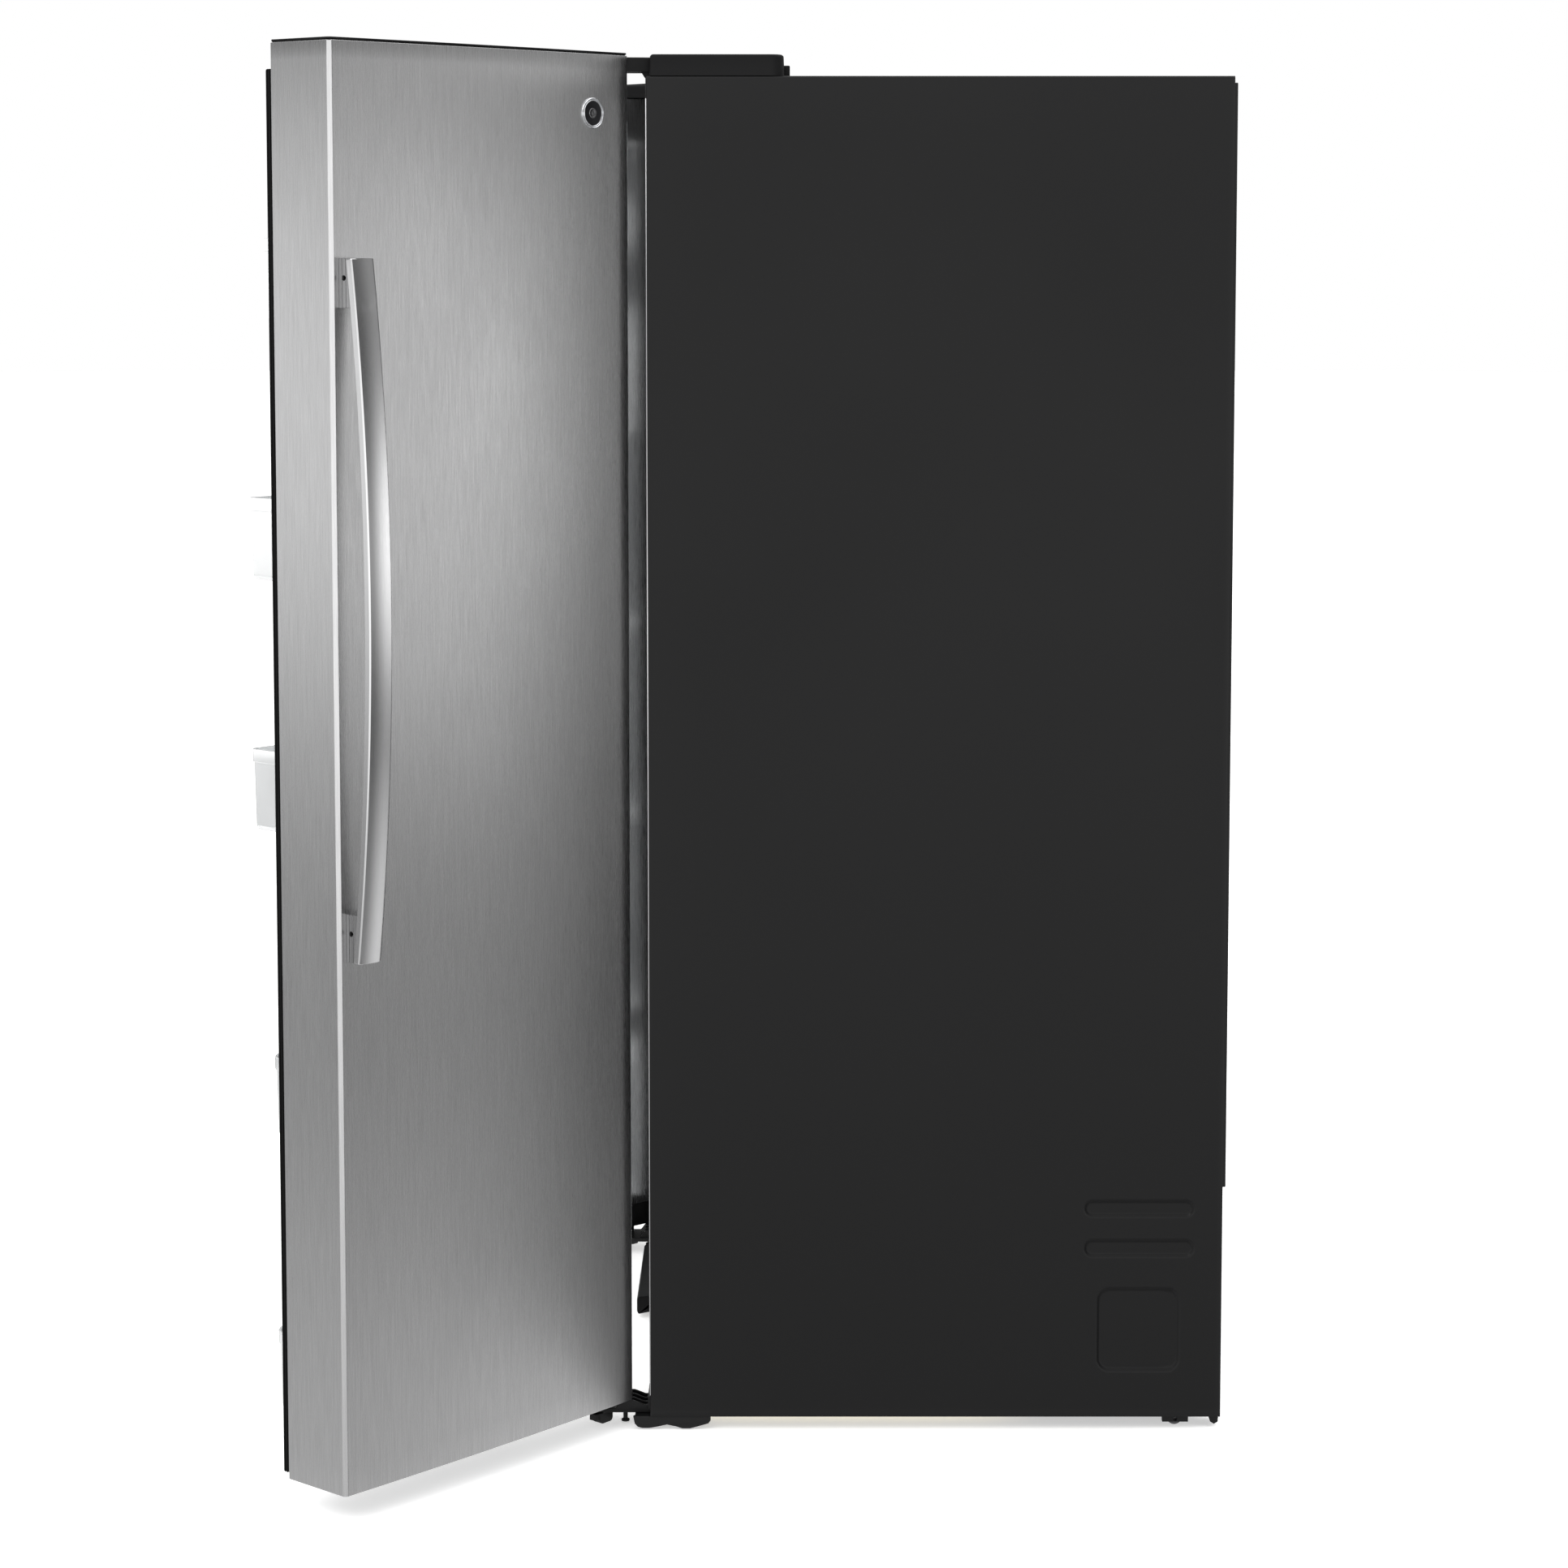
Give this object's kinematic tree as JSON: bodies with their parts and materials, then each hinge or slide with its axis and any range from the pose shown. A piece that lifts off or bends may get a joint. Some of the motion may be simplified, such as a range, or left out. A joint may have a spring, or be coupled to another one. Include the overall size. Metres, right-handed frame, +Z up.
{
  "type": "side by side refrigerator",
  "caption": "Side by side refrigerator with both doors open: bowed steel doors, curved handles, clear door bins, shelves, drawers and its cooling parts.",
  "frame": {"origin": "on the floor, midway between the cabinet's sides, in the plane of the cabinet's front edge", "axes": "+X to the refrigerator's right (fresh food side), +Y to its back, +Z up"},
  "size_m": [1.6157, 1.2303, 1.777],
  "materials": {
    "cabinet_paint": "satin",
    "back_steel": "satin",
    "foam": "matte",
    "liner_white": "satin",
    "stainless": "satin",
    "handle_metal": "satin",
    "badge_chrome": "polished",
    "black_plastic": "satin",
    "gasket_rubber": "matte",
    "clear_plastic": "gloss",
    "shelf_glass": "gloss",
    "shelf_trim": "satin",
    "zinc_steel": "satin",
    "aluminium_fin": "satin",
    "black_steel": "satin",
    "lamp_lens": "satin",
    "roller_plastic": "satin",
    "filter_white": "satin"
  },
  "bodies": {
    "cabinet": {"cabinet_shell": "cabinet_paint", "back_panel": "cabinet_paint", "insulation": "foam", "fresh_liner": "liner_white", "freezer_liner": "liner_white", "mullion_bar": "cabinet_paint", "base_frame": "black_steel", "base_grille": "black_plastic", "machine_cover": "back_steel", "compressor": "black_steel", "condenser": "black_steel", "drain_pan": "black_plastic", "fan_motors": "zinc_steel", "water_valve": "filter_white", "power_inlet": "black_plastic", "evaporator": "aluminium_fin", "evaporator_cover": "liner_white", "air_duct": "liner_white", "control_housing": "shelf_trim", "lamp_lenses": "lamp_lens", "glass_shelves": "shelf_glass", "shelf_frames": "shelf_trim", "shelf_tracks": "zinc_steel", "drawer_rails": "liner_white", "freezer_shelves": "liner_white", "ice_maker": "liner_white", "upper_hinges": "black_steel", "lower_hinges": "black_steel", "hinge_covers": "black_plastic", "roller_brackets": "black_steel"},
    "fresh_door": {"fresh_door_skin": "stainless", "fresh_door_foam": "foam", "fresh_door_liner": "liner_white", "fresh_door_caps": "black_plastic", "fresh_gasket": "gasket_rubber", "fresh_handle": "handle_metal", "fresh_door_bins": "clear_plastic", "door_badge": "badge_chrome"},
    "freezer_door": {"freezer_door_skin": "stainless", "freezer_door_foam": "foam", "freezer_door_liner": "liner_white", "freezer_door_caps": "black_plastic", "freezer_gasket": "gasket_rubber", "freezer_handle": "handle_metal", "freezer_door_bins": "clear_plastic"},
    "leveling_leg_right": {"leveling_leg_right": "zinc_steel"},
    "leveling_leg_left": {"leveling_leg_left": "zinc_steel"},
    "front_roller_right": {"front_roller_right": "roller_plastic"},
    "front_roller_left": {"front_roller_left": "roller_plastic"},
    "rear_roller_right": {"rear_roller_right": "roller_plastic"},
    "rear_roller_left": {"rear_roller_left": "roller_plastic"},
    "condenser_fan": {"condenser_fan": "roller_plastic"},
    "evaporator_fan": {"evaporator_fan": "filter_white"},
    "crisper_lower": {"crisper_lower": "clear_plastic"},
    "crisper_upper": {"crisper_upper": "clear_plastic"},
    "deli_drawer": {"deli_drawer": "clear_plastic"},
    "freezer_basket": {"freezer_basket": "liner_white"},
    "ice_bucket": {"ice_bucket": "liner_white"},
    "water_filter": {"water_filter": "filter_white"},
    "dairy_lid": {"dairy_lid": "clear_plastic"}
  },
  "joints": [
    {"name": "fresh_door_hinge", "type": "hinge", "parent": "cabinet", "child": "fresh_door", "pos_m": [0.429, -0.0705, 0.036], "axis": [0, 0, 1], "range_deg": [-138.8, 0]},
    {"name": "freezer_door_hinge", "type": "hinge", "parent": "cabinet", "child": "freezer_door", "pos_m": [-0.429, -0.0705, 0.036], "axis": [0, 0, -1], "range_deg": [-138.8, 0]},
    {"name": "crisper_lower_slide", "type": "slide", "parent": "cabinet", "child": "crisper_lower", "axis": [0, -1, 0], "range_m": [0, 0.25]},
    {"name": "crisper_upper_slide", "type": "slide", "parent": "cabinet", "child": "crisper_upper", "axis": [0, -1, 0], "range_m": [0, 0.4]},
    {"name": "deli_drawer_slide", "type": "slide", "parent": "cabinet", "child": "deli_drawer", "axis": [0, -1, 0], "range_m": [0, 0.34]},
    {"name": "freezer_basket_slide", "type": "slide", "parent": "cabinet", "child": "freezer_basket", "axis": [0, -1, 0], "range_m": [0, 0.25]},
    {"name": "ice_bucket_slide", "type": "slide", "parent": "cabinet", "child": "ice_bucket", "axis": [0, -1, 0], "range_m": [0, 0.25]},
    {"name": "water_filter_turn", "type": "hinge", "parent": "cabinet", "child": "water_filter", "pos_m": [0.322, 0.344, 1.655], "axis": [0, 1, 0], "range_deg": [0, 90]},
    {"name": "dairy_lid_hinge", "type": "hinge", "parent": "fresh_door", "child": "dairy_lid", "pos_m": [0.53868, -0.2868, 1.636], "axis": [-0.7524, 0.6587, 0], "range_deg": [0, 80]},
    {"name": "condenser_fan_spin", "type": "hinge", "parent": "cabinet", "child": "condenser_fan", "pos_m": [0, 0.6, 0.12], "axis": [1, 0, 0], "continuous": true},
    {"name": "evaporator_fan_spin", "type": "hinge", "parent": "cabinet", "child": "evaporator_fan", "pos_m": [-0.24, 0.62, 1.08], "axis": [0, -1, 0], "continuous": true},
    {"name": "leveling_leg_right_turn", "type": "hinge", "parent": "cabinet", "child": "leveling_leg_right", "pos_m": [0.428, -0.005, 0.01], "axis": [0, 0, 1], "continuous": true},
    {"name": "front_roller_right_spin", "type": "hinge", "parent": "cabinet", "child": "front_roller_right", "pos_m": [0.428, 0.047, 0.0105], "axis": [1, 0, 0], "continuous": true},
    {"name": "rear_roller_right_spin", "type": "hinge", "parent": "cabinet", "child": "rear_roller_right", "pos_m": [0.422, 0.685, 0.0105], "axis": [1, 0, 0], "continuous": true},
    {"name": "leveling_leg_left_turn", "type": "hinge", "parent": "cabinet", "child": "leveling_leg_left", "pos_m": [-0.428, -0.005, 0.01], "axis": [0, 0, 1], "continuous": true},
    {"name": "front_roller_left_spin", "type": "hinge", "parent": "cabinet", "child": "front_roller_left", "pos_m": [-0.428, 0.047, 0.0105], "axis": [1, 0, 0], "continuous": true},
    {"name": "rear_roller_left_spin", "type": "hinge", "parent": "cabinet", "child": "rear_roller_left", "pos_m": [-0.422, 0.685, 0.0105], "axis": [1, 0, 0], "continuous": true}
  ]
}
